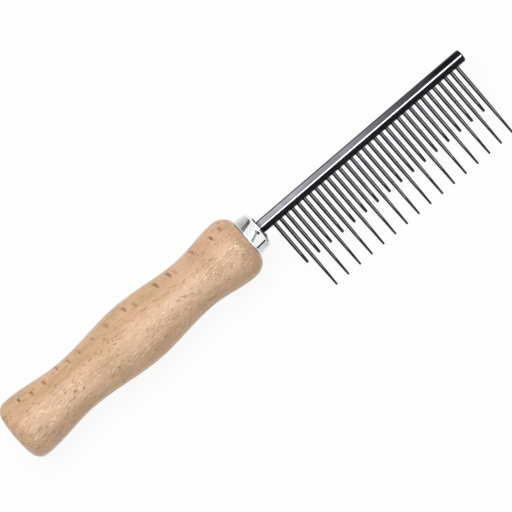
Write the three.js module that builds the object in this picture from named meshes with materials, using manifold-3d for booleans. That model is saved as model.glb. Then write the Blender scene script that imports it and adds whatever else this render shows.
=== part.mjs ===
// Comb for tangled and moulting coats: a turned wooden handle, a pressed metal ferrule,
// and a round steel spine with one row of pins, short and long by turns.
// Millimetres, +Z up. The comb lies on its side as it does on a table: the handle's widest
// turns and the points of the long pins touch the plane z = 0, and +X runs from butt to tip.

import * as THREE from 'three';
import { mergeVertices } from 'three/addons/utils/BufferGeometryUtils.js';
import Module from 'manifold-3d';

// ---- Handle, from its butt face to the ferrule -------------------------------------

const blankRadius = 12.5;        // the belly and the flare keep the blank's full width
const buttFlatRadius = 5;        // flat middle of the butt face
const buttRound = 5.4;           // butt face to where its rounded edge reaches full radius
const buttSquareness = 2.6;      // exponent of that rounded edge, 2 is an ellipse
const buttDepth = 0.2;           // how far each turn lies under the blank's width
const rearWaistDepth = 2.3;
const frontWaistDepth = 2.1;
const buttToRearWaist = 23.3;    // lengths from one turn of the outline to the next
const rearWaistToBelly = 29;
const bellyToFrontWaist = 26.3;
const frontWaistToFlare = 18.9;
const shoulderLength = 6.3;      // from the flare down to the ferrule
const shoulderSweep = THREE.MathUtils.degToRad(80);   // the shoulder's round stops short of square

// ---- Ferrule, a pressed cup over the handle's tenon --------------------------------

const ferruleRadius = 7.95;      // at its rim, on the wood
const ferruleTaper = 0.45;       // how much narrower it is where its side turns over
const ferruleHeight = 5.8;       // rim to the level of the top's edge
const ferruleCrown = 0.6;        // how far the top domes above that
const ferruleCorner = 1.4;
const ferruleWall = 0.6;

// ---- Spine -------------------------------------------------------------------------

const spineRadius = 2.5;
const spineEndMargin = 4.37;     // last pin to the spine's end
const spineEdge = 0.9;           // round of the spine's end
const tangLength = 34;           // what the handle hides, from the ferrule's crown back

// ---- Pins --------------------------------------------------------------------------

const pinPairs = 16;             // each pair is one short and one long pin
const pinPitch = 2.78;
const firstPinPlace = 4.75;      // from the ferrule's crown
const pinRadius = 0.75;
const pinTaperStart = 8;         // from the spine's axis, where both pins begin to thin
const shortPinReach = 20.9;      // from the spine's axis to the point
const shortPinTipRadius = 0.55;
const longPinReach = 33.7;
const longPinTipRadius = 0.4;
const pinSeatPastAxis = 0.9;     // how far a hole runs past the spine's axis

// ---- Clearances between the pieces -------------------------------------------------

const rimGap = 0.1;              // glue line under the ferrule's rim
const tenonClearance = 0.3;      // tenon to the ferrule's side
const tenonEndClearance = 0.8;   // tenon to the start of the ferrule's inner corner
const boreClearance = 0.3;       // tang in the handle, all round and at its end
const ferruleHoleClearance = 0.2;
const pinHoleClearance = 0.15;
const pinSeatClearance = 0.2;    // under a pin's root

// ---- How finely round shapes are cut -----------------------------------------------

const handleSides = 32;
const handleRingStep = 2.6;      // between the rings of a swell
const roundSteps = 6;
const spineSides = 24;
const pinSides = 10;

// ---- Materials ---------------------------------------------------------------------

const beech = () => new THREE.MeshStandardMaterial({ color: 0xdcb48c, roughness: 0.45, metalness: 0 });
const chrome = () => new THREE.MeshStandardMaterial({ color: 0xdfe2e4, roughness: 0.08, metalness: 1 });
const spineSteel = () => new THREE.MeshStandardMaterial({ color: 0x9a9ca0, roughness: 0.18, metalness: 1 });
const pinSteel = () => new THREE.MeshStandardMaterial({ color: 0xaeb1b5, roughness: 0.2, metalness: 1 });

// ---- Places worked out from the sizes above ----------------------------------------

const rearWaistPlace = buttRound + buttToRearWaist;
const bellyPlace = rearWaistPlace + rearWaistToBelly;
const frontWaistPlace = bellyPlace + bellyToFrontWaist;
const flarePlace = frontWaistPlace + frontWaistToFlare;
const handleLength = flarePlace + shoulderLength;

const ferruleRim = handleLength + rimGap;
const ferruleTop = ferruleRim + ferruleHeight + ferruleCrown;
const ferruleTopRadius = ferruleRadius - ferruleTaper;
const tenonRadius = ferruleTopRadius - ferruleWall - tenonClearance;
const tenonLength = ferruleHeight - ferruleCorner - tenonEndClearance;

const tangEnd = ferruleTop - tangLength;
const lastPinPlace = pinPlace(2 * pinPairs - 1);
const spineEnd = lastPinPlace + spineEndMargin;

function pinPlace(index) {
  return ferruleTop + firstPinPlace + index * pinPitch;
}

// The long pins' round points and the handle's widest turns rest on the same plane.
const droop = Math.asin((blankRadius - longPinTipRadius) / (longPinReach - longPinTipRadius));
const sideReach = (longPinReach - longPinTipRadius) * Math.cos(droop) + longPinTipRadius;

// ---- Solids ------------------------------------------------------------------------

const wasm = await Module();
wasm.setup();

function toSolid(geometry) {
  const bare = geometry.clone();
  bare.deleteAttribute('normal');
  bare.deleteAttribute('uv');
  const merged = mergeVertices(bare, 1e-4);
  const mesh = new wasm.Mesh({
    numProp: 3,
    vertProperties: merged.attributes.position.array,
    triVerts: Uint32Array.from(merged.index.array),
  });
  return new wasm.Manifold(mesh);
}

function toGeometry(solid) {
  const mesh = solid.getMesh();
  const geometry = new THREE.BufferGeometry();
  geometry.setAttribute('position', new THREE.BufferAttribute(mesh.vertProperties, 3));
  geometry.setIndex(new THREE.BufferAttribute(mesh.triVerts, 1));
  geometry.computeVertexNormals();
  return geometry;
}

// A solid turned about +Y from [radius, height] points that climb along its outside.
function turned(points, sides) {
  return new THREE.LatheGeometry(points.map(([radius, height]) => new THREE.Vector2(radius, height)), sides);
}

// The same, laid down so that its axis is +X.
function turnedAlongX(points, sides) {
  return turned(points, sides).rotateZ(-Math.PI / 2);
}

// A quarter round from full radius at its start to endRadius at its end, as [radius, height].
function roundOff(startHeight, startRadius, endHeight, endRadius, steps) {
  const points = [];
  for (let i = 1; i <= steps; i++) {
    const angle = (i / steps) * (Math.PI / 2);
    const radius = endRadius + (startRadius - endRadius) * Math.cos(angle);
    const height = startHeight + (endHeight - startHeight) * Math.sin(angle);
    points.push([radius, height]);
  }
  return points;
}

// ---- Handle ------------------------------------------------------------------------

// The butt's edge, from its flat face out to its full radius.
function buttEdge() {
  const points = [[buttFlatRadius, 0]];
  for (let i = 1; i <= roundSteps; i++) {
    const angle = (i / roundSteps) * (Math.PI / 2);
    const out = Math.sin(angle) ** (2 / buttSquareness);
    const along = 1 - Math.cos(angle) ** (2 / buttSquareness);
    points.push([buttFlatRadius + (blankRadius - buttDepth - buttFlatRadius) * out, buttRound * along]);
  }
  return points;
}

// A smooth S from one turn of the outline to the next, each given by its depth under the blank.
function swell(startPlace, startDepth, endPlace, endDepth) {
  const steps = Math.max(2, Math.round((endPlace - startPlace) / handleRingStep));
  const points = [];
  for (let i = 1; i <= steps; i++) {
    const share = (1 - Math.cos((i / steps) * Math.PI)) / 2;
    const depth = startDepth + (endDepth - startDepth) * share;
    points.push([blankRadius - depth, startPlace + (endPlace - startPlace) * (i / steps)]);
  }
  return points;
}

// The round from the flare down to the ferrule's rim.
function shoulder() {
  const depth = (blankRadius - ferruleRadius) / (1 - Math.cos(shoulderSweep));
  const length = shoulderLength / Math.sin(shoulderSweep);
  const points = [];
  for (let i = 1; i <= roundSteps; i++) {
    const angle = (i / roundSteps) * shoulderSweep;
    points.push([blankRadius - depth * (1 - Math.cos(angle)), flarePlace + length * Math.sin(angle)]);
  }
  return points;
}

function makeHandle() {
  const boreRadius = spineRadius + boreClearance;
  const outline = [
    [0, 0],
    ...buttEdge(),
    ...swell(buttRound, buttDepth, rearWaistPlace, rearWaistDepth),
    ...swell(rearWaistPlace, rearWaistDepth, bellyPlace, 0),
    ...swell(bellyPlace, 0, frontWaistPlace, frontWaistDepth),
    ...swell(frontWaistPlace, frontWaistDepth, flarePlace, 0),
    ...shoulder(),
    [tenonRadius, handleLength],
    [tenonRadius, handleLength + tenonLength],
    [boreRadius, handleLength + tenonLength],
    [boreRadius, tangEnd - boreClearance],
    [0, tangEnd - boreClearance],
  ];
  return new THREE.Mesh(turnedAlongX(outline, handleSides), beech());
}

// ---- Ferrule -----------------------------------------------------------------------

// The cup's skin at one depth under its outer face, from the rim up to the spine's hole.
function ferruleSkin(depth) {
  const holeRadius = spineRadius + ferruleHoleClearance;
  const edge = ferruleRim + ferruleHeight - depth;
  const crown = ferruleTop - depth;
  const corner = ferruleCorner - depth;
  const side = ferruleTopRadius - depth;
  return [
    [ferruleRadius - depth, ferruleRim],
    [side, edge - corner],
    ...roundOff(edge - corner, side, edge, side - corner, roundSteps),
    [(side - corner + holeRadius) / 2, edge + (crown - edge) * 0.75],
    [holeRadius, crown],
  ];
}

function makeFerrule() {
  const outside = ferruleSkin(0);
  const inside = ferruleSkin(ferruleWall).reverse();
  const outline = [...outside, ...inside, outside[0]];
  return new THREE.Mesh(turnedAlongX(outline, handleSides), chrome());
}

// ---- Spine and its pin holes -------------------------------------------------------

function makeSpine() {
  const rod = turnedAlongX([
    [0, tangEnd],
    [spineRadius, tangEnd],
    [spineRadius, spineEnd - spineEdge],
    ...roundOff(spineEnd - spineEdge, spineRadius, spineEnd, spineRadius - spineEdge, roundSteps / 2),
    [0, spineEnd],
  ], spineSides);
  let solid = toSolid(rod);
  const holeDepth = 2 * spineRadius + pinSeatPastAxis;
  for (let i = 0; i < 2 * pinPairs; i++) {
    const drill = new THREE.CylinderGeometry(
      pinRadius + pinHoleClearance, pinRadius + pinHoleClearance, holeDepth, pinSides);
    drill.translate(pinPlace(i), pinSeatPastAxis - holeDepth / 2, 0);
    solid = solid.subtract(toSolid(drill));
  }
  return new THREE.Mesh(toGeometry(solid), spineSteel());
}

// ---- Pins --------------------------------------------------------------------------

// A pin along +Y from its root in the spine: parallel, then thinning faster towards its point.
function makePin(reach, tipRadius) {
  const taperSteps = 3;
  const taperEnd = reach - tipRadius;
  const outline = [
    [0, pinSeatClearance - pinSeatPastAxis],
    [pinRadius, pinSeatClearance - pinSeatPastAxis],
    [pinRadius, pinTaperStart],
  ];
  for (let i = 1; i <= taperSteps; i++) {
    const share = i / taperSteps;
    const radius = pinRadius - (pinRadius - tipRadius) * share ** 2;
    outline.push([radius, pinTaperStart + (taperEnd - pinTaperStart) * share]);
  }
  outline.push(...roundOff(taperEnd, tipRadius, reach, 0, 2));
  const pin = new THREE.Mesh(turned(outline, pinSides), pinSteel());
  pin.rotation.x = Math.PI;
  return pin;
}

// ---- Comb --------------------------------------------------------------------------

// Spine and pins are one straight comb about the handle's axis, rolled until the pins rest.
function makeHead() {
  const head = new THREE.Group();
  const spine = makeSpine();
  spine.name = 'spine';
  head.add(spine);
  for (let i = 0; i < 2 * pinPairs; i++) {
    const isShort = i % 2 === 0;
    const number = String(Math.floor(i / 2) + 1).padStart(2, '0');
    const pin = isShort ? makePin(shortPinReach, shortPinTipRadius) : makePin(longPinReach, longPinTipRadius);
    pin.name = `${isShort ? 'short' : 'long'}_pin_${number}`;
    pin.position.x = pinPlace(i);
    head.add(pin);
  }
  head.rotation.x = droop;
  return head;
}

const handle = makeHandle();
handle.name = 'handle';
const ferrule = makeFerrule();
ferrule.name = 'ferrule';

// The origin is under the middle of the comb's box, on the plane it rests on.
const comb = new THREE.Group();
comb.add(handle, ferrule, makeHead());
comb.position.set(-spineEnd / 2, (sideReach - blankRadius) / 2, blankRadius);

export default comb;
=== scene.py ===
# Grooming comb built around its CAD frame: a turned beech handle, a chrome ferrule,
# a polished spine and one row of wire pins, both plated steel painted near black as painted dark reflection.
# Metres, in the row frame.
import math

import bmesh
import bpy
from mathutils import Matrix, Vector


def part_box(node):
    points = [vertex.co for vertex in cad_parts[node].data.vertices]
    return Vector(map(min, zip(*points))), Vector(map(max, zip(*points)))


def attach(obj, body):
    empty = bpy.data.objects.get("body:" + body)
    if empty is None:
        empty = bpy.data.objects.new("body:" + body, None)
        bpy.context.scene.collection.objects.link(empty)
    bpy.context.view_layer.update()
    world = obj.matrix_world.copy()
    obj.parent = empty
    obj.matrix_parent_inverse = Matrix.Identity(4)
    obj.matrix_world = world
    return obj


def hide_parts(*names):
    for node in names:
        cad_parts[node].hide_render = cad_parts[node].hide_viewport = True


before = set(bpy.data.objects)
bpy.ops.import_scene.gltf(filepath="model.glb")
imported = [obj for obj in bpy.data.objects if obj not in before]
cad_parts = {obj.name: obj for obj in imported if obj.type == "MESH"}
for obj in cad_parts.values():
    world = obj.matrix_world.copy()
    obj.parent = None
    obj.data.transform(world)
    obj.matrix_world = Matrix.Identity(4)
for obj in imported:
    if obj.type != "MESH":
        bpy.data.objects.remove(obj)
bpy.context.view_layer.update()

print("frame loaded:", len(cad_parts), "nodes")

# ---- the comb's own directions, from the frame ----

alongComb = Vector((1, 0, 0))
handleLow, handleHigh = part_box("handle")
buttCentre = Vector((handleLow.x, (handleLow.y + handleHigh.y) / 2, (handleLow.z + handleHigh.z) / 2))


def nodePoints(node):
    return [vertex.co.copy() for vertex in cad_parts[node].data.vertices]


def awayFromAxis(point):
    across = point - buttCentre
    across.x = 0
    return across


# a pin's point is its CAD vertex furthest from the comb's axis
def pinPoint(node):
    return max(nodePoints(node), key=lambda point: awayFromAxis(point).length)


pinsDown = awayFromAxis(pinPoint("long_pin_01")).normalized()   # from the spine to the points
combFace = pinsDown.cross(alongComb).normalized()               # square to the row of pins, upwards
backUp = -pinsDown


# rings of a CAD node about a line, as {distance along it: [distances from it]}
def ringsOf(node, start, direction):
    rings = {}
    for point in nodePoints(node):
        offset = point - start
        along = offset.dot(direction)
        away = (offset - direction * along).length
        rings.setdefault(round(along, 5), []).append(away)
    return rings


# ---- mesh helpers ----

def newPiece(name, mesh, material, sharpDegrees=35):
    bmesh.ops.remove_doubles(mesh, verts=mesh.verts, dist=1e-6)
    bmesh.ops.dissolve_degenerate(mesh, edges=mesh.edges, dist=1e-7)
    bmesh.ops.recalc_face_normals(mesh, faces=mesh.faces)
    data = bpy.data.meshes.new(name)
    mesh.to_mesh(data)
    mesh.free()
    data.polygons.foreach_set("use_smooth", [True] * len(data.polygons))
    data.set_sharp_from_angle(angle=math.radians(sharpDegrees))
    data.materials.append(material)
    piece = bpy.data.objects.new(name, data)
    bpy.context.scene.collection.objects.link(piece)
    return piece


# turns an outline of (along, away) pairs about a line; steps is how many sides it gets
def turnOutline(outline, start, direction, side, steps):
    mesh = bmesh.new()
    line = [mesh.verts.new(start + direction * along + side * away) for along, away in outline]
    edges = [mesh.edges.new(pair) for pair in zip(line, line[1:])]
    bmesh.ops.spin(mesh, geom=line + edges, cent=start, axis=direction, angle=2 * math.pi,
                   steps=steps, use_merge=True)
    bmesh.ops.remove_doubles(mesh, verts=mesh.verts, dist=1e-6)
    return mesh


# ---- shader helpers ----

class Wire:
    # a socket that takes part in sums
    def __init__(self, finish, socket):
        self.finish = finish
        self.socket = socket

    # another output of the same node
    def other(self, output):
        return Wire(self.finish, self.socket.node.outputs[output])

    def __add__(self, other):
        return self.finish.sum("ADD", self, other)

    def __radd__(self, other):
        return self.finish.sum("ADD", other, self)

    def __sub__(self, other):
        return self.finish.sum("SUBTRACT", self, other)

    def __rsub__(self, other):
        return self.finish.sum("SUBTRACT", other, self)

    def __mul__(self, other):
        return self.finish.sum("MULTIPLY", self, other)

    def __rmul__(self, other):
        return self.finish.sum("MULTIPLY", other, self)

    def __truediv__(self, other):
        return self.finish.sum("DIVIDE", self, other)


class Finish:
    # one material or world and its nodes
    def __init__(self, owner):
        self.owner = owner
        owner.use_nodes = True
        self.tree = owner.node_tree

    def node(self, kind, settings=None, sockets=None, out=0):
        made = self.tree.nodes.new("ShaderNode" + kind)
        for key, value in (settings or {}).items():
            if key == "stops":
                ramp = made.color_ramp
                while len(ramp.elements) < len(value):
                    ramp.elements.new(1)
                for element, (place, colour) in zip(ramp.elements, value):
                    element.position = place
                    element.color = (*colour, 1)
            else:
                setattr(made, key, value)
        for key, value in (sockets or {}).items():
            self.feed(made.inputs[key], value)
        return Wire(self, made.outputs[out])

    def feed(self, socket, value):
        if isinstance(value, Wire):
            self.tree.links.new(value.socket, socket)
        elif socket.type == "RGBA":
            socket.default_value = (*value, 1)
        else:
            socket.default_value = value

    def sum(self, operation, first, second):
        return self.node("Math", {"operation": operation}, {0: first, 1: second})

    def blend(self, share, first, second, kind="MIX"):
        settings = {"data_type": "RGBA", "blend_type": kind}
        return self.node("Mix", settings, {0: share, 6: first, 7: second}, 2)

    # 0 below low, 1 above high, smooth between
    def step(self, value, low, high):
        return self.node("MapRange", {"interpolation_type": "SMOOTHSTEP"}, {0: value, 1: low, 2: high})

    def bump(self, strength, distance, height):
        sockets = {"Strength": strength, "Distance": distance, "Height": height}
        return self.node("Bump", {}, sockets, "Normal")

    def surface(self, values):
        shader = self.tree.nodes["Principled BSDF"]
        for key, value in values.items():
            self.feed(shader.inputs[key], value)

    # Object coordinates in millimetres about a point, rolled about the comb's length
    def millimetres(self, centre, rollDegrees=0):
        place = self.node("TexCoord", out="Object")
        centred = self.node("VectorMath", {"operation": "SUBTRACT"}, {0: place, 1: centre})
        return self.node("Mapping", {"vector_type": "POINT"}, {
            "Vector": centred,
            "Rotation": (math.radians(rollDegrees), 0, 0),
            "Scale": (1000, 1000, 1000),
        })

    def stretched(self, vector, scale):
        return self.node("VectorMath", {"operation": "MULTIPLY"}, {0: vector, 1: scale})


def newFinish(name):
    return Finish(bpy.data.materials.new(name))


def degreesFromUp(direction):
    return math.degrees(math.atan2(-direction.y, direction.z))


# ---- handle: turned beech ----

handle = {
    "steps": 64,
    "edgeBevel": 0.00015,
    "coreShare": 1.5,                  # rings within this many spine radii are the bore's
    "rosy": (0.75, 0.46, 0.29),        # lacquered beech, linear colours
    "straw": (0.68, 0.44, 0.245),
    "shade": (0.52, 0.305, 0.165),
    "pore": (0.25, 0.11, 0.045),
    # painted shade on one side of each peck, a small dent
    "peck": (0.3, 0.135, 0.045),
    "ray": (0.95, 0.7, 0.48),
    "rayTurn": -19,             # degrees from the comb's face to the middle of a ray-flecked side
    "rayWidth": 50,
    "peckPlace": 8.3,           # millimetres from the axis towards the back to the row of pecks, small dents with painted shade
    "peckPitch": 6.4,           # millimetres along the handle
    "peckBow": 1.35,            # radius of each peck's curve
    "roughness": 0.3,
}


def beechFinish():
    finish = newFinish("beech")
    middle = (handleLow + handleHigh) / 2
    # X runs along the grain, Y towards the comb's back, Z out of its face
    wood = finish.millimetres(middle, -degreesFromUp(combFace))
    along = finish.node("SeparateXYZ", {}, {"Vector": wood}, "X")
    backwards = along.other("Y")
    outwards = along.other("Z")
    turn = finish.sum("ARCTAN2", backwards, outwards) * (180 / math.pi)

    def noise(scale, detail=2.0, out="Fac", vector=wood):
        return finish.node("TexNoise", {}, {"Vector": finish.stretched(vector, scale), "Scale": 1.0,
                                            "Detail": detail}, out)

    wander = noise((0.1, 0.25, 0.25), 2.0, "Color")
    bend = finish.node("VectorMath", {"operation": "SUBTRACT"}, {0: wander, 1: (0.5, 0.5, 0.5)})
    bend = finish.stretched(bend, (4.0, 2.4, 2.4))
    bent = finish.node("VectorMath", {"operation": "ADD"}, {0: wood, 1: bend})

    # patches of tone, then soft streaks and fine fibres along the grain
    tone = finish.step(noise((0.06, 0.16, 0.16), 3.0), 0.4, 0.6)
    colour = finish.blend(tone, handle["rosy"], handle["straw"])
    patch = finish.step(noise((0.1, 0.3, 0.3), 4.0, vector=bent), 0.44, 0.68)
    colour = finish.blend(patch * 0.5, colour, handle["shade"])
    fibre = finish.step(noise((0.3, 3.2, 3.2), 3.0, vector=bent), 0.34, 0.68)
    colour = finish.blend(fibre * 0.2, colour, handle["shade"])

    # ray flecks, thick on two opposite sides and thin elsewhere
    quarter = finish.sum("COSINE", (turn - handle["rayTurn"]) * (math.pi / 90), 0.0)
    flecked = finish.step(quarter, math.cos(math.radians(2 * handle["rayWidth"])), 0.95) * 0.7 + 0.12
    ray = finish.step(noise((0.5, 2.3, 2.3), 3.0), 0.54, 0.66) * flecked
    colour = finish.blend(ray, colour, handle["ray"])

    # pores in loose rows of dark dashes
    rows = finish.step(noise((0.06, 0.6, 0.6), 1.0, vector=bent), 0.46, 0.56)
    pore = finish.step(noise((0.5, 2.7, 2.7), 1.0, vector=bent), 0.6, 0.68) * rows
    colour = finish.blend(pore * 0.8, colour, handle["pore"])

    # a row of pecks, small dents: each is bumped in and painted with a dark bow of painted shade, its hollow
    # towards the butt
    peck = finish.node("TexVoronoi", {"voronoi_dimensions": "1D", "feature": "F1"},
                       {"W": along / handle["peckPitch"], "Scale": 1.0, "Randomness": 0.8}, "W")
    peckRandom = finish.node("SeparateColor", {}, {"Color": peck.other("Color")}, "Red")
    rough = noise((0.8, 0.8, 0.8), 3.0) * 2.4 - 1.2
    forward = along - peck * handle["peckPitch"]
    across = backwards - handle["peckPlace"] + (peckRandom.other("Green") - 0.5) * 2.4
    ahead = forward + handle["peckBow"] + rough * 0.5
    reach = finish.sum("SQRT", ahead * ahead + across * across, 0.0)
    offBow = finish.sum("ABSOLUTE", reach - handle["peckBow"], 0.0)
    peckLength = peckRandom.other("Blue") * 0.7 + 0.7
    bow = (1 - finish.step(offBow, 0.15, 0.95)) * finish.step(forward + across * 0.5, -0.9, -0.1)
    bow = bow * (1 - finish.step(finish.sum("ABSOLUTE", across + rough * 0.4, 0.0) / peckLength, 0.7, 1.5))
    peckDentsAndShade = bow * (peckRandom * 0.6 + 0.4) * finish.step(outwards, -1.0, 1.0)
    # the pecks' dark bows are painted shade of the dents; the same mask also dents the bump
    colour = finish.blend(peckDentsAndShade, colour, handle["peck"])

    height = ray * 0.4 - pore - peckDentsAndShade * 0.8 - fibre * 0.15 - patch * 0.3
    finish.surface({
        "Base Color": colour,
        "Roughness": fibre * 0.12 + (handle["roughness"] - 0.05),
        "Normal": finish.bump(0.6, 0.00015, height),
        "IOR": 1.46,
    })
    return finish.owner


def buildHandle():
    spineWide = max(max(away) for away in ringsOf("spine", buttCentre, alongComb).values())
    rings = ringsOf("handle", buttCentre, alongComb)
    core = handle["coreShare"] * spineWide
    outer = sorted((along, max(away)) for along, away in rings.items() if max(away) > core)
    inner = sorted((along, max(away)) for along, away in rings.items() if max(away) < core)
    boreEnd, boreWide = next(ring for ring in inner if ring[1] > spineWide)
    tenonEnd, tenonWide = outer[-1]
    seat = outer[-2][0]
    outline = [(0, 0), *outer[:-1], (seat, tenonWide), (tenonEnd, tenonWide), (tenonEnd, boreWide),
               (boreEnd, boreWide), (boreEnd, 0)]
    mesh = turnOutline(outline, buttCentre, alongComb, backUp, handle["steps"])
    corners = [edge for edge in mesh.edges if len(edge.link_faces) == 2
               and edge.calc_face_angle(0) > math.radians(50)]
    bmesh.ops.bevel(mesh, geom=corners, offset=handle["edgeBevel"], offset_type="OFFSET", segments=2,
                    profile=0.5, affect="EDGES", material=-1, clamp_overlap=True)
    piece = newPiece("turnedHandle", mesh, beechFinish(), 180)
    smooth = piece.modifiers.new("smooth", "SUBSURF")
    smooth.levels = 1
    smooth.render_levels = 1
    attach(piece, "root")
    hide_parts("handle")


buildHandle()
print("handle turned")

# ---- ferrule: pressed and plated cup ----

ferrule = {
    "steps": 96,
    "taper": 0.00045,
    "corner": 0.0014,
    "crown": 0.0006,
    "wall": 0.0006,
    "lip": 0.0002,           # rolled edge on the wood
    "colour": (0.86, 0.87, 0.88),
    "smudge": (0.74, 0.75, 0.77),
    "roughness": 0.07,
}


def chromeFinish():
    finish = newFinish("chrome")
    low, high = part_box("ferrule")
    place = finish.millimetres((low + high) / 2)
    smudge = finish.node("TexNoise", {}, {"Vector": place, "Scale": 0.35, "Detail": 4.0})
    drawn = finish.stretched(place, (14.0, 0.25, 0.25))
    lines = finish.node("TexNoise", {}, {"Vector": drawn, "Scale": 1.0, "Detail": 3.0})
    shine = finish.step(smudge, 0.4, 0.8) * 0.25
    finish.surface({
        "Base Color": finish.blend(shine, ferrule["colour"], ferrule["smudge"]),
        "Metallic": 1.0,
        "Roughness": finish.step(smudge, 0.35, 0.75) * 0.08 + ferrule["roughness"],
        "Normal": finish.bump(0.06, 0.00005, lines),
    })
    return finish.owner


def buildFerrule():
    low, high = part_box("ferrule")
    rings = ringsOf("ferrule", buttCentre, alongComb)
    rim = min(rings)
    top = max(rings)
    rimWide = max(rings[rim])
    holeWide = min(min(away) for away in rings.values())
    edge = top - ferrule["crown"]
    sideWide = rimWide - ferrule["taper"]

    def skin(depth, steps):
        corner = ferrule["corner"] - depth
        wide = sideWide - depth
        points = [(rim, rimWide - depth)]
        sideLength = edge - ferrule["corner"] - rim
        for share in (0.1, 0.95):       # keeps the shading of the side even
            points.append((rim + sideLength * share, rimWide - ferrule["taper"] * share - depth))
        for i in range(steps + 1):
            angle = math.pi / 2 * i / steps
            along = edge - depth - corner + corner * math.sin(angle)
            points.append((along, wide - corner + corner * math.cos(angle)))
        flat = wide - corner
        for i in range(1, 5):
            share = i / 4
            crown = ferrule["crown"] * math.sin(share * math.pi / 2)
            points.append((edge - depth + crown, flat + (holeWide - flat) * share))
        return points

    outline = skin(0, 8) + skin(ferrule["wall"], 6)[::-1]
    outline.append(outline[0])
    mesh = turnOutline(outline, buttCentre, alongComb, backUp, ferrule["steps"])
    corners = [edge for edge in mesh.edges if len(edge.link_faces) == 2
               and edge.calc_face_angle(0) > math.radians(60)]
    bmesh.ops.bevel(mesh, geom=corners, offset=ferrule["lip"], offset_type="OFFSET", segments=3,
                    profile=0.5, affect="EDGES", material=-1, clamp_overlap=True)
    piece = newPiece("platedFerrule", mesh, chromeFinish(), 60)
    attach(piece, "root")
    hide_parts("ferrule")


buildFerrule()
print("ferrule pressed")

# ---- spine: polished rod, drilled for the pins ----

spine = {
    "steps": 64,
    "edge": 0.0009,
    "edgeSegments": 5,
    "drillSteps": 20,
    "countersink": 0.00013,     # how much wider than the pin each hole opens
    "countersinkDepth": 0.00025,
    "holePlay": 0.00001,
    "drillClear": 0.001,        # how far each drill stands out of the spine
    # near black: painted dark reflection, standing in for plated steel that reflects dark surroundings
    "colour": (0.012, 0.0117, 0.0132),
    "lightPatch": 1.4,          # how much lighter the polish is in patches
    "roughness": 0.1,
}


def spineFinish():
    finish = newFinish("polishedSteelPaintedDark")
    low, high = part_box("spine")
    place = finish.millimetres((low + high) / 2)
    drawn = finish.stretched(place, (0.12, 5.0, 5.0))
    polish = finish.node("TexNoise", {}, {"Vector": drawn, "Scale": 1.0, "Detail": 4.0})
    cloud = finish.node("TexNoise", {}, {"Vector": place, "Scale": 0.18, "Detail": 3.0})
    patches = finish.step(polish * 0.4 + cloud * 0.6, 0.4, 0.65)
    lighter = tuple(spine["lightPatch"] * part for part in spine["colour"])
    finish.surface({
        "Base Color": finish.blend(patches, spine["colour"], lighter),
        "Metallic": 1.0,
        "Roughness": finish.step(polish, 0.3, 0.7) * 0.06 + spine["roughness"],
        "Normal": finish.bump(0.03, 0.00002, polish),
    })
    return finish.owner


pinNodes = sorted(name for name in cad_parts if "_pin_" in name)


def pinOutline(node):
    point = pinPoint(node)
    base = Vector((point.x, buttCentre.y, buttCentre.z))
    rings = ringsOf(node, base, pinsDown)
    return base, sorted((along, max(away)) for along, away in rings.items())


def buildSpine():
    rings = ringsOf("spine", buttCentre, alongComb)
    wide = max(max(away) for away in rings.values())
    outline = [(min(rings), 0), (min(rings), wide), (max(rings), wide), (max(rings), 0)]
    mesh = turnOutline(outline, buttCentre, alongComb, backUp, spine["steps"])
    tip = buttCentre.x + max(rings)
    corner = [edge for edge in mesh.edges if all(abs(vertex.co.x - tip) < 1e-6 for vertex in edge.verts)
              and edge.calc_face_angle(0) > 1]
    bmesh.ops.bevel(mesh, geom=corner, offset=spine["edge"], offset_type="OFFSET",
                    segments=spine["edgeSegments"], profile=0.5, affect="EDGES", material=-1)
    piece = newPiece("drilledSpine", mesh, spineFinish())

    drills = bmesh.new()
    for node in pinNodes:
        base, pin = pinOutline(node)
        pinWide = max(away for along, away in pin)
        hole = pinWide + spine["holePlay"]
        bottom = pin[0][0] - spine["holePlay"]
        mouth = wide - spine["countersinkDepth"]
        flare = hole + spine["countersink"]
        out = wide + spine["drillClear"]
        outline = [(bottom, 0), (bottom, hole), (mouth, hole), (wide, flare), (out, flare), (out, 0)]
        drill = turnOutline(outline, base, pinsDown, alongComb, spine["drillSteps"])
        bmesh.ops.recalc_face_normals(drill, faces=drill.faces)
        one = bpy.data.meshes.new("drill")
        drill.to_mesh(one)
        drill.free()
        drills.from_mesh(one)
        bpy.data.meshes.remove(one)
    cutter = newPiece("cutter", drills, piece.data.materials[0])
    cut = piece.modifiers.new("holes", "BOOLEAN")
    cut.operation = "DIFFERENCE"
    cut.solver = "EXACT"
    cut.object = cutter
    bpy.context.view_layer.update()
    drilled = bpy.data.meshes.new_from_object(piece.evaluated_get(bpy.context.evaluated_depsgraph_get()))
    piece.modifiers.clear()
    clean = bmesh.new()         # the cuts leave slivers too thin to keep
    clean.from_mesh(drilled)
    bmesh.ops.remove_doubles(clean, verts=clean.verts, dist=2e-6)
    bmesh.ops.dissolve_degenerate(clean, edges=clean.edges, dist=1e-6)
    clean.to_mesh(drilled)
    clean.free()
    piece.data = drilled
    drilled.set_sharp_from_angle(angle=math.radians(30))
    bpy.data.objects.remove(cutter)
    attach(piece, "root")
    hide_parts("spine")


buildSpine()
print("spine drilled")

# ---- pins: turned and polished wire ----

pins = {
    "steps": 20,
    # near black: painted dark reflection, standing in for polished steel wire that reflects dark
    # surroundings
    "colour": (0.02, 0.0193, 0.0218),
    "lightPatch": 1.5,
    "roughness": 0.09,
}


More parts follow.
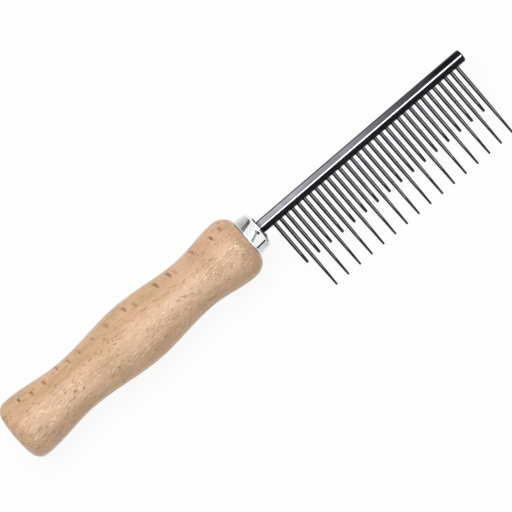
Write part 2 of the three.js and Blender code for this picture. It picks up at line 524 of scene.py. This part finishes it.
def pinFinish():
    finish = newFinish("polishedWirePaintedDark")
    low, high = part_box("spine")
    middle = (low + high) / 2
    place = finish.millimetres(middle, -degreesFromUp(combFace))
    drawn = finish.stretched(place, (6.0, 0.3, 6.0))
    polish = finish.node("TexNoise", {}, {"Vector": drawn, "Scale": 1.0, "Detail": 3.0})
    spotted = finish.stretched(place, (1.0, 0.35, 1.0))
    spots = finish.node("TexNoise", {}, {"Vector": spotted, "Scale": 1.0, "Detail": 2.0})
    lighter = tuple(pins["lightPatch"] * part for part in pins["colour"])
    finish.surface({
        "Base Color": finish.blend(finish.step(spots, 0.4, 0.7), pins["colour"], lighter),
        "Metallic": 1.0,
        "Roughness": finish.step(polish, 0.3, 0.7) * 0.05 + pins["roughness"],
        "Normal": finish.bump(0.03, 0.00001, polish),
    })
    return finish.owner


def buildPins():
    wire = pinFinish()
    for node in pinNodes:
        base, rings = pinOutline(node)
        bodyEnd = next(i for i, ring in enumerate(rings) if ring[0] > 0)
        outline = [(rings[0][0], 0), (rings[0][0], rings[0][1]), *rings[bodyEnd:]]
        mesh = turnOutline(outline, base, pinsDown, alongComb, pins["steps"])
        size, number = node.split("_pin_")
        piece = newPiece(size + "Pin" + number, mesh, wire)
        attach(piece, "root")
        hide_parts(node)


buildPins()
print("pins set:", len(pinNodes))

# ---- camera ----

view = {
    "rise": 40.6,               # degrees, how steeply the comb runs up to the right
    "along": 0.1077,            # what the camera looks at: so far from the butt face
    "belowAxis": 0.00683,       # and so far from the comb's axis towards the pins' points
    "width": 0.18405,           # of the picture, at the comb
    "distance": 1.2,
}


def addCamera():
    data = bpy.data.cameras.new("camera")
    data.sensor_width = 36
    data.lens = data.sensor_width * view["distance"] / view["width"]
    data.clip_start = 0.05
    data.clip_end = 20
    camera = bpy.data.objects.new("camera", data)
    bpy.context.scene.collection.objects.link(camera)
    rise = math.radians(view["rise"])
    right = alongComb * math.cos(rise) - backUp * math.sin(rise)
    up = alongComb * math.sin(rise) + backUp * math.cos(rise)
    target = buttCentre + alongComb * view["along"] + pinsDown * view["belowAxis"]
    place = target + combFace * view["distance"]
    camera.matrix_world = Matrix.Translation(place) @ Matrix((right, up, combFace)).transposed().to_4x4()
    bpy.context.scene.camera = camera


addCamera()

# ---- studio ----

studio = {
    "floorSize": 6.0,
    "floorColour": (0.9, 0.9, 0.9),
    "floorWhite": 0.92,         # share of plain white in what the camera sees of the floor
    "fill": 0.4,                # world light on the comb
    "keyPower": 5.2,
    "keySize": 0.7,
    "keyDistance": 0.9,
    "keyTurn": 31,              # degrees from the comb's face towards its back
    "keyAlong": 0.08,           # the place along the comb that it faces
}

# One-sided cards that only gloss reflects. Turns are degrees from the comb's face towards its
# back, and places along the comb are from the butt face. A fade runs between two such places or
# turns. The far end is turned on by the twist.
cards = {
    "softbox": {"turns": (-56, 34), "along": (-0.04, 0.12), "distance": 0.4, "glow": (5.0, 5.0)},
    "strip": {"turns": (-11.6, 6.2), "along": (0.116, 0.214), "distance": 0.005, "glow": (97, 97)},
    "backPanel": {"turns": (13.6, 80.5), "along": (0.116, 0.2), "distance": 0.005, "glow": (34, 1.0)},
    "ferruleBand": {
        "turns": (25, 44), "twist": 30, "along": (0.1108, 0.1185), "distance": 0.0194, "glow": (0.3, 0.0)},
    "ferruleBack": {
        "turns": (44, 120), "twist": 30, "along": (0.1108, 0.1185), "distance": 0.0194, "glow": (0.36, 0.95),
        "fadeTurns": True},
    "ferruleCorner": {
        "turns": (55, 82), "along": (0.1185, 0.124), "distance": 0.0194, "glow": (0.12, 0.3)},
    "ferruleSeam": {
        "turns": (-34, -23), "twist": 30, "along": (0.1112, 0.1172), "distance": 0.0194, "glow": (0.4, 0.2)},
    "ferruleNotch": {
        "turns": (-21, 4), "along": (0.1156, 0.123), "distance": 0.0192, "glow": (0.01, 0.01)},
    "ferruleLine": {
        "turns": (-69, -59), "along": (0.1108, 0.1185), "distance": 0.0194, "glow": (0.06, 0.0)},
    "ferruleUnder": {
        "turns": (-120, -69), "along": (0.1108, 0.1185), "distance": 0.0194, "glow": (0.78, 0.6)},
}

cardSteps = 16

# a dark ring before the ferrule, as (place along the comb, distance from its axis)
collar = {
    "outline": ((0.1164, 0.003), (0.1164, 0.0048)),
    "steps": 48,
    "glow": 0.03,
}

# a black lip down from the strip's lower edge, which keeps the strip off the pins
lip = {
    "turn": -12.2,
    "along": (0.1164, 0.214),
    "away": (0.0027, 0.0051),
    "glow": 0.02,
}

# a long low card beyond the comb's tip that lights one side of each pin
window = {
    "along": (0.25, 0.65),
    "across": (-0.1, 0.06),
    "height": 0.6,
    "glow": 20,
}


def seenDirectly(finish):
    path = finish.node("LightPath", out="Is Camera Ray")
    return finish.sum("MINIMUM", path + path.other("Is Glossy Ray") + path.other("Is Transmission Ray"), 1.0)


def addWorld():
    world = bpy.data.worlds.new("studio")
    bpy.context.scene.world = world
    finish = Finish(world)
    seen = seenDirectly(finish)
    background = finish.tree.nodes["Background"]
    background.inputs["Color"].default_value = (1, 1, 1, 1)
    finish.feed(background.inputs["Strength"], seen * (1 - studio["fill"]) + studio["fill"])


def addFloor():
    mesh = bmesh.new()
    bmesh.ops.create_grid(mesh, x_segments=1, y_segments=1, size=studio["floorSize"] / 2)
    finish = newFinish("paleFloor")
    seen = seenDirectly(finish)
    output = finish.tree.nodes["Material Output"]
    finish.surface({"Base Color": studio["floorColour"], "Roughness": 0.9, "Specular IOR Level": 0.0})
    white = finish.node("Emission", {}, {"Color": (1, 1, 1), "Strength": 1.0})
    shade = Wire(finish, finish.tree.nodes["Principled BSDF"].outputs[0])
    mixed = finish.node("MixShader", {}, {0: seen * studio["floorWhite"], 1: shade, 2: white})
    finish.feed(output.inputs["Surface"], mixed)
    floor = newPiece("floor", mesh, finish.owner)


def addKey():
    data = bpy.data.lights.new("key", "AREA")
    data.shape = "DISK"
    data.size = studio["keySize"]
    data.energy = studio["keyPower"]
    key = bpy.data.objects.new("key", data)
    bpy.context.scene.collection.objects.link(key)
    turn = math.radians(studio["keyTurn"])
    middle = buttCentre + alongComb * studio["keyAlong"]
    towards = combFace * math.cos(turn) + backUp * math.sin(turn)
    key.location = middle + towards * studio["keyDistance"]
    key.rotation_mode = "QUATERNION"
    key.rotation_quaternion = towards.to_track_quat("Z", "Y")
    key.visible_glossy = False


def glossOnly(name, mesh, glow, oneSided=False):
    finish = newFinish(name)
    if callable(glow):
        light = finish.node("Emission", {}, {"Color": glow(finish), "Strength": 1.0})
    else:
        light = finish.node("Emission", {}, {"Color": (1, 1, 1), "Strength": glow})
    if oneSided:
        behind = finish.node("NewGeometry", out="Backfacing")
        light = finish.node("MixShader", {}, {0: behind, 1: light, 2: finish.node("BsdfTransparent")})
    finish.feed(finish.tree.nodes["Material Output"].inputs["Surface"], light)
    piece = newPiece(name, mesh, finish.owner)
    piece.visible_camera = False
    piece.visible_diffuse = False
    piece.visible_transmission = False
    piece.visible_shadow = False
    return piece


def aroundAxis(turn):
    return combFace * math.cos(math.radians(turn)) + backUp * math.sin(math.radians(turn))


def addCard(name, card):
    start, end = card["turns"]
    low, high = card["along"]
    mesh = bmesh.new()
    towards = aroundAxis(start) * card["distance"]
    twisted = aroundAxis(start + card.get("twist", 0)) * card["distance"]
    ends = [mesh.verts.new(buttCentre + alongComb * low + towards),
            mesh.verts.new(buttCentre + alongComb * high + twisted)]
    edge = mesh.edges.new(ends)
    bmesh.ops.spin(mesh, geom=[*ends, edge], cent=buttCentre, axis=-alongComb,
                   angle=math.radians(end - start), steps=cardSteps)
    if card.get("fadeTurns"):
        fadeWay = (aroundAxis(end) - aroundAxis(start)).normalized()
        span = (fadeWay.dot(towards), fadeWay.dot(aroundAxis(end)) * card["distance"])
    else:
        fadeWay = alongComb
        span = (low, high)

    def glow(finish):
        place = finish.node("TexCoord", out="Object")
        offset = finish.node("VectorMath", {"operation": "SUBTRACT"}, {0: place, 1: buttCentre})
        along = finish.node("VectorMath", {"operation": "DOT_PRODUCT"}, {0: offset, 1: fadeWay}, "Value")
        first, last = card["glow"]
        return finish.node("MapRange", {}, {0: along, 1: span[0], 2: span[1], 3: first, 4: last})

    piece = glossOnly(name, mesh, glow, True)
    if piece.data.polygons[cardSteps // 2].normal.dot(aroundAxis((start + end) / 2)) > 0:
        piece.data.flip_normals()       # the lit side faces the comb


def addLip():
    mesh = bmesh.new()
    low, high = lip["along"]
    near, far = (aroundAxis(lip["turn"]) * away for away in lip["away"])
    places = [alongComb * low + near, alongComb * high + near, alongComb * high + far, alongComb * low + far]
    mesh.faces.new([mesh.verts.new(buttCentre + place) for place in places])
    glossOnly("lip", mesh, lip["glow"])


def addWindow():
    mesh = bmesh.new()
    low, high = window["along"]
    near, far = window["across"]
    bmesh.ops.create_grid(mesh, x_segments=1, y_segments=1, size=0.5)
    bmesh.ops.scale(mesh, vec=(high - low, far - near, 1), verts=mesh.verts)
    bmesh.ops.translate(mesh, vec=((low + high) / 2, (near + far) / 2, window["height"]), verts=mesh.verts)
    turned = Matrix((alongComb, backUp, combFace)).transposed()
    bmesh.ops.transform(mesh, matrix=Matrix.Translation(buttCentre) @ turned.to_4x4(), verts=mesh.verts)
    glossOnly("window", mesh, window["glow"])


def addCollar():
    ring = turnOutline(collar["outline"], buttCentre, alongComb, backUp, collar["steps"])
    glossOnly("collar", ring, collar["glow"])


addWorld()
addFloor()
addKey()
for cardName, cardFacts in cards.items():
    addCard(cardName, cardFacts)
addCollar()
addLip()
addWindow()

scene = bpy.context.scene
scene.view_settings.view_transform = "Standard"
print("studio lit")
